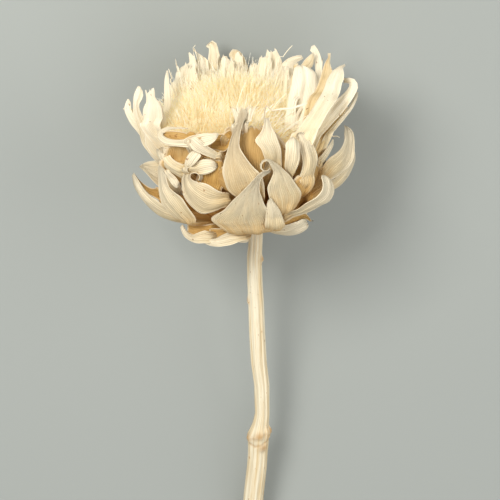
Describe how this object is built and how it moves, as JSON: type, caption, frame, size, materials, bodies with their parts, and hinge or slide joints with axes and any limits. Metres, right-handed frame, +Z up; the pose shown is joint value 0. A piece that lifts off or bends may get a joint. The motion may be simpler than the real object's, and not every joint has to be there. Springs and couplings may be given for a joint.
{
  "type": "dried artichoke flower",
  "caption": "Bleached dried artichoke flower head with curled bracts, papery crown and hairy choke on a cut ribbed stem, lying on its back.",
  "frame": {"origin": "centre of the footprint, on the surface that the flower lies on", "axes": "+Y along the stem towards the head, +Z up, away from the surface"},
  "size_m": [0.114, 0.272, 0.1017],
  "materials": {
    "bract": "matt dried leaf, striated, ivory at the tips and tan at the roots",
    "choke_hair": "fine straw-coloured hair",
    "stem_skin": "matt dried stem, ribbed, pale beige"
  },
  "bodies": {
    "root": {"bract_head": "bract", "choke": "choke_hair", "stem": "stem_skin"}
  },
  "joints": []
}
